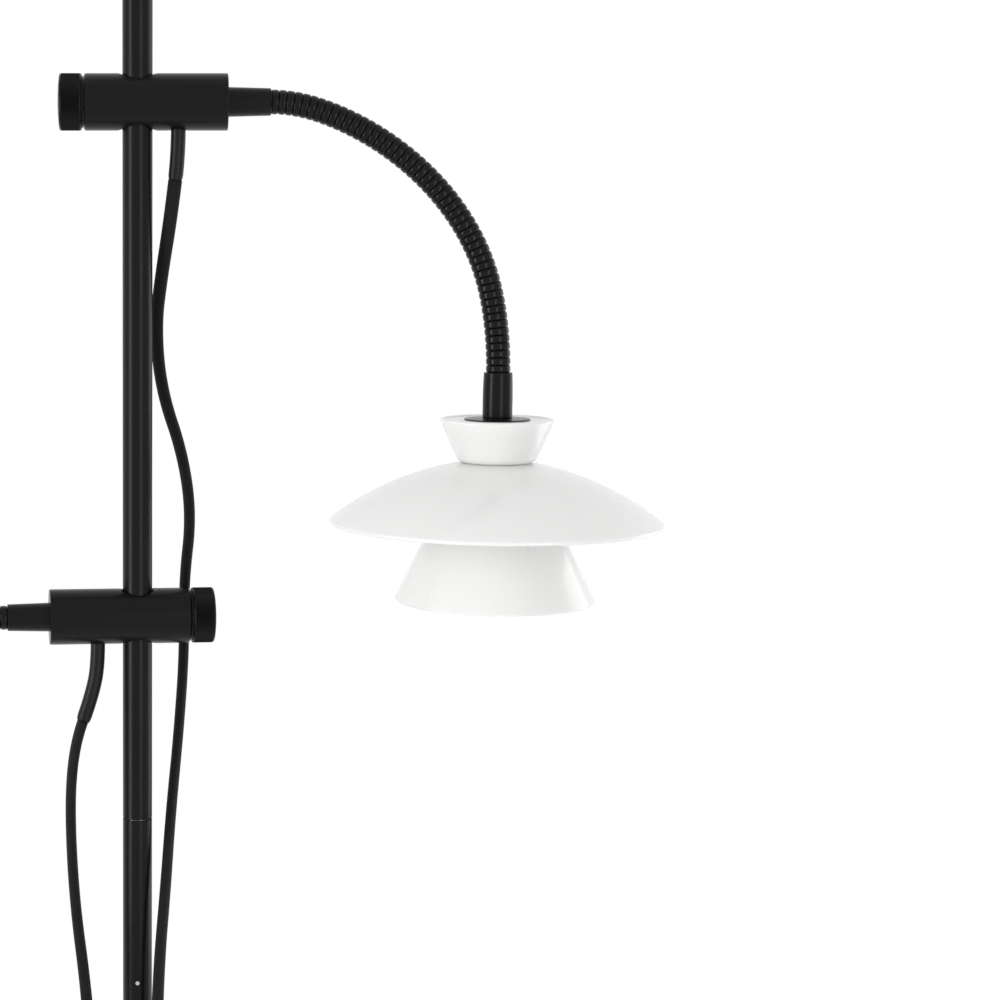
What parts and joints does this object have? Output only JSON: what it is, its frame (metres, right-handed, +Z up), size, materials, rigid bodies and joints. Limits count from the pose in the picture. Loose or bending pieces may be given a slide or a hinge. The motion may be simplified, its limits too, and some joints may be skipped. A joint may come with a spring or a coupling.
{
  "type": "tension pole lamp",
  "caption": "Floor-to-ceiling tension pole lamp: sliding swivel clamps, ribbed gooseneck arms and stepped opal shades, with a push-button box, clipped lead and plug.",
  "frame": {"origin": "centre of the pole's foot on the floor", "axes": "+Z up the pole to the ceiling, +X the way the upper arm reaches, -Y towards the viewer"},
  "size_m": [0.5641, 0.1953, 2.4],
  "materials": {
    "black_steel": "satin black powder coat on steel tube",
    "black_turned": "satin black turned metal",
    "black_hose": "semi-gloss black coat on ribbed steel hose",
    "black_plastic": "fine matte black plastic",
    "opal": "opal white, glossy",
    "bulb_opal": "opal bulb, unlit",
    "black_rubber": "soft black rubber",
    "plated_steel": "plated steel",
    "black_textile": "woven black textile over two-core flex",
    "black_sleeve": "black shrink sleeve"
  },
  "bodies": {
    "pole": {"floor_pad": "black_rubber", "floor_foot": "black_steel", "lower_tube": "black_steel", "joint_spigot": "plated_steel", "upper_tube": "black_steel", "switch_box": "black_plastic", "switch_back": "black_plastic", "cord_clips": "black_plastic", "upper_cord": "black_textile", "lower_cord": "black_textile", "supply_cord": "black_textile", "cord_coil": "black_textile", "plug_body": "black_plastic", "plug_pins": "plated_steel"},
    "collar": {"lock_collar": "black_turned"},
    "mast": {"inner_tube": "black_steel", "spring_seat": "black_plastic", "ceiling_spring": "plated_steel"},
    "ceiling_head": {"ceiling_stem": "plated_steel", "ceiling_cup": "black_steel", "ceiling_pad": "black_rubber"},
    "switch_button": {"switch_button": "black_plastic"},
    "upper_slider": {"upper_liner": "black_plastic"},
    "upper_clamp": {"upper_clamp_body": "black_turned", "upper_clamp_ferrule": "black_turned", "upper_hose_1": "black_hose", "upper_cord_sleeve": "black_sleeve"},
    "upper_knob": {"upper_knob": "black_turned", "upper_clamp_screw": "plated_steel"},
    "upper_press": {"upper_pressure_pad": "black_plastic"},
    "upper_link_2": {"upper_hose_2": "black_hose"},
    "upper_link_3": {"upper_hose_3": "black_hose"},
    "upper_link_4": {"upper_hose_4": "black_hose"},
    "upper_link_5": {"upper_hose_5": "black_hose"},
    "upper_head": {"upper_hose_6": "black_hose", "upper_head_ferrule": "black_turned", "upper_flange": "black_turned", "upper_nipple": "plated_steel", "upper_shade": "opal", "upper_lamp_holder": "black_plastic", "upper_bulb": "bulb_opal"},
    "lower_slider": {"lower_liner": "black_plastic"},
    "lower_clamp": {"lower_clamp_body": "black_turned", "lower_clamp_ferrule": "black_turned", "lower_hose_1": "black_hose", "lower_cord_sleeve": "black_sleeve"},
    "lower_knob": {"lower_knob": "black_turned", "lower_clamp_screw": "plated_steel"},
    "lower_press": {"lower_pressure_pad": "black_plastic"},
    "lower_link_2": {"lower_hose_2": "black_hose"},
    "lower_link_3": {"lower_hose_3": "black_hose"},
    "lower_link_4": {"lower_hose_4": "black_hose"},
    "lower_link_5": {"lower_hose_5": "black_hose"},
    "lower_head": {"lower_hose_6": "black_hose", "lower_head_ferrule": "black_turned", "lower_flange": "black_turned", "lower_nipple": "plated_steel", "lower_shade": "opal", "lower_lamp_holder": "black_plastic", "lower_bulb": "bulb_opal"}
  },
  "joints": [
    {"name": "collar_turn", "type": "hinge", "parent": "pole", "child": "collar", "pos_m": [0, 0, 2.05], "axis": [0, 0, 1], "range_deg": [0, 60]},
    {"name": "telescope", "type": "slide", "parent": "pole", "child": "mast", "axis": [0, 0, 1], "range_m": [-0.25, 0.15]},
    {"name": "ceiling_plunger", "type": "slide", "parent": "mast", "child": "ceiling_head", "axis": [0, 0, 1], "range_m": [-0.02, 0], "stiffness_N_per_m": 2000, "springref_m": 0.01, "deforming": ["ceiling_spring"]},
    {"name": "switch_press", "type": "slide", "parent": "pole", "child": "switch_button", "axis": [0, 1, 0], "range_m": [0, 0.0025], "stiffness_N_per_m": 400, "springref_m": -0.002},
    {"name": "upper_slide", "type": "slide", "parent": "pole", "child": "upper_slider", "axis": [0, 0, 1], "range_m": [0, 0.25], "deforming": ["upper_cord"]},
    {"name": "upper_swivel", "type": "hinge", "parent": "upper_slider", "child": "upper_clamp", "pos_m": [0, 0, 1.6], "axis": [0, 0, 1], "range_deg": [-150, 150], "deforming": ["upper_cord"]},
    {"name": "upper_knob_turn", "type": "hinge", "parent": "upper_clamp", "child": "upper_knob", "pos_m": [-0.035, 0, 1.6], "axis": [-1, 0, 0], "range_deg": [0, 540]},
    {"name": "upper_pad_travel", "type": "slide", "parent": "upper_clamp", "child": "upper_press", "axis": [-1, 0, 0], "range_m": [0, 0.0019]},
    {"name": "upper_bend_1", "type": "hinge", "parent": "upper_clamp", "child": "upper_link_2", "pos_m": [0.09411, 0, 1.59626], "axis": [0, 1, 0], "range_deg": [-22, 6]},
    {"name": "upper_bend_2", "type": "hinge", "parent": "upper_link_2", "child": "upper_link_3", "pos_m": [0.12671, 0, 1.5812], "axis": [0.524, 0, 0.8517], "range_deg": [-22, 22]},
    {"name": "upper_bend_3", "type": "hinge", "parent": "upper_link_3", "child": "upper_link_4", "pos_m": [0.1549, 0, 1.55893], "axis": [0, 1, 0], "range_deg": [-22, 6]},
    {"name": "upper_bend_4", "type": "hinge", "parent": "upper_link_4", "child": "upper_link_5", "pos_m": [0.17662, 0, 1.53037], "axis": [0.8704, 0, 0.4924], "range_deg": [-22, 22]},
    {"name": "upper_bend_5", "type": "hinge", "parent": "upper_link_5", "child": "upper_head", "pos_m": [0.18918, 0, 1.49678], "axis": [0, 1, 0], "range_deg": [-22, 10]},
    {"name": "lower_slide", "type": "slide", "parent": "pole", "child": "lower_slider", "axis": [0, 0, 1], "range_m": [-0.12, 0.01], "deforming": ["lower_cord", "upper_cord"]},
    {"name": "lower_swivel", "type": "hinge", "parent": "lower_slider", "child": "lower_clamp", "pos_m": [0, 0, 1.325], "axis": [0, 0, 1], "range_deg": [-110, 110], "deforming": ["lower_cord", "upper_cord"]},
    {"name": "lower_knob_turn", "type": "hinge", "parent": "lower_clamp", "child": "lower_knob", "pos_m": [0.03487, 0.00305, 1.325], "axis": [0.9962, 0.0872, 0], "range_deg": [0, 540]},
    {"name": "lower_pad_travel", "type": "slide", "parent": "lower_clamp", "child": "lower_press", "axis": [0.9962, 0.0872, 0], "range_m": [0, 0.0019]},
    {"name": "lower_bend_1", "type": "hinge", "parent": "lower_clamp", "child": "lower_link_2", "pos_m": [-0.09375, -0.0082, 1.32126], "axis": [0.0872, -0.9962, 0], "range_deg": [-22, 6]},
    {"name": "lower_bend_2", "type": "hinge", "parent": "lower_link_2", "child": "lower_link_3", "pos_m": [-0.12623, -0.01104, 1.3062], "axis": [-0.522, -0.0457, 0.8517], "range_deg": [-22, 22]},
    {"name": "lower_bend_3", "type": "hinge", "parent": "lower_link_3", "child": "lower_link_4", "pos_m": [-0.15431, -0.0135, 1.28394], "axis": [0.0872, -0.9962, 0], "range_deg": [-22, 6]},
    {"name": "lower_bend_4", "type": "hinge", "parent": "lower_link_4", "child": "lower_link_5", "pos_m": [-0.17595, -0.01539, 1.25537], "axis": [-0.867, -0.0759, 0.4924], "range_deg": [-22, 22]},
    {"name": "lower_bend_5", "type": "hinge", "parent": "lower_link_5", "child": "lower_head", "pos_m": [-0.18846, -0.01649, 1.22178], "axis": [0.0872, -0.9962, 0], "range_deg": [-22, 10]}
  ],
  "couplings": [
    {"joint": "upper_pad_travel", "follows": "upper_knob_turn", "m_per_rad": 0.00019894},
    {"joint": "lower_pad_travel", "follows": "lower_knob_turn", "m_per_rad": 0.00019894}
  ]
}
